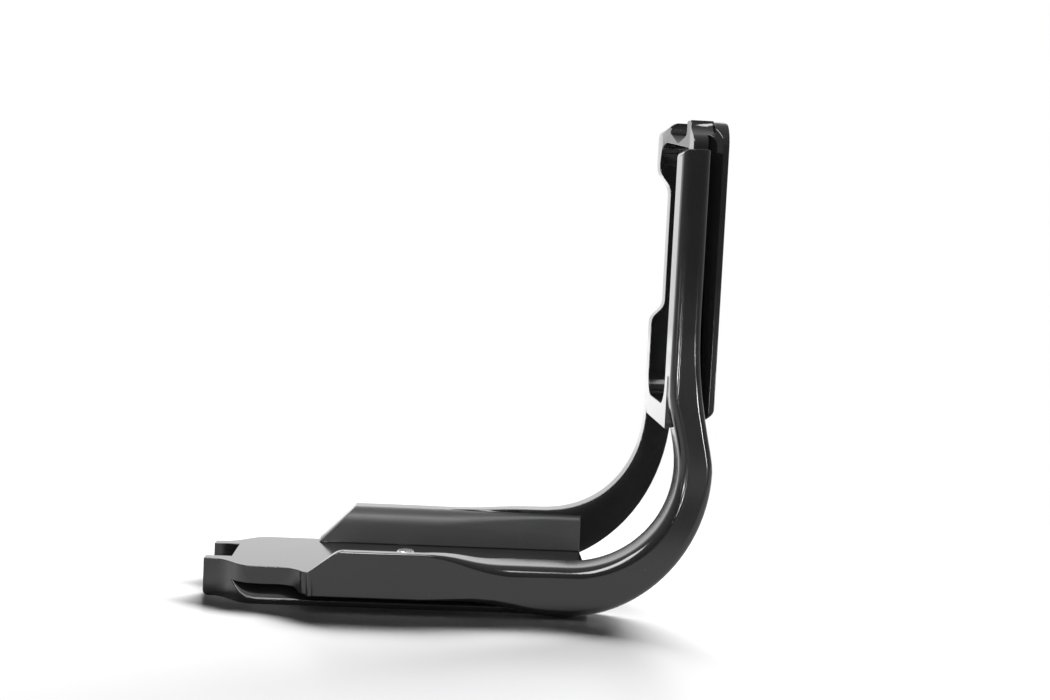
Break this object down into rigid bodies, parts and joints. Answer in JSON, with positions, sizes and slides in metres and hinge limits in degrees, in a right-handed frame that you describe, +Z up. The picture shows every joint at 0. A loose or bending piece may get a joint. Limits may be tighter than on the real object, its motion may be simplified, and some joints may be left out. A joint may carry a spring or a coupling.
{
  "type": "camera l-bracket",
  "caption": "Black anodised camera L-bracket with dovetail base and side plate, rear lip, swept open corner and captive screw.",
  "frame": {"origin": "middle of the bounding box, on the underside of the dovetail base", "axes": "+Z up out of the base, +X from the base's free end towards the side plate, +Y from the lens side to the rear lip"},
  "size_m": [0.1322, 0.05, 0.1318],
  "materials": {
    "black_anodised": "satin black hard anodised",
    "stainless": "bright turned",
    "nylon": "natural nylon",
    "spring_steel": "phosphated spring steel"
  },
  "bodies": {
    "bracket": {"bracket_body": "black_anodised", "retaining_ring": "spring_steel"},
    "washer": {"slip_washer": "nylon"},
    "screw": {"camera_screw": "stainless"}
  },
  "joints": [
    {"name": "screw_float", "type": "slide", "parent": "bracket", "child": "washer", "axis": [0, 0, 1], "range_m": [0, 0.0026]},
    {"name": "screw_turn", "type": "hinge", "parent": "washer", "child": "screw", "pos_m": [-0.01315, 0, 0.005], "axis": [0, 0, 1], "continuous": true}
  ]
}
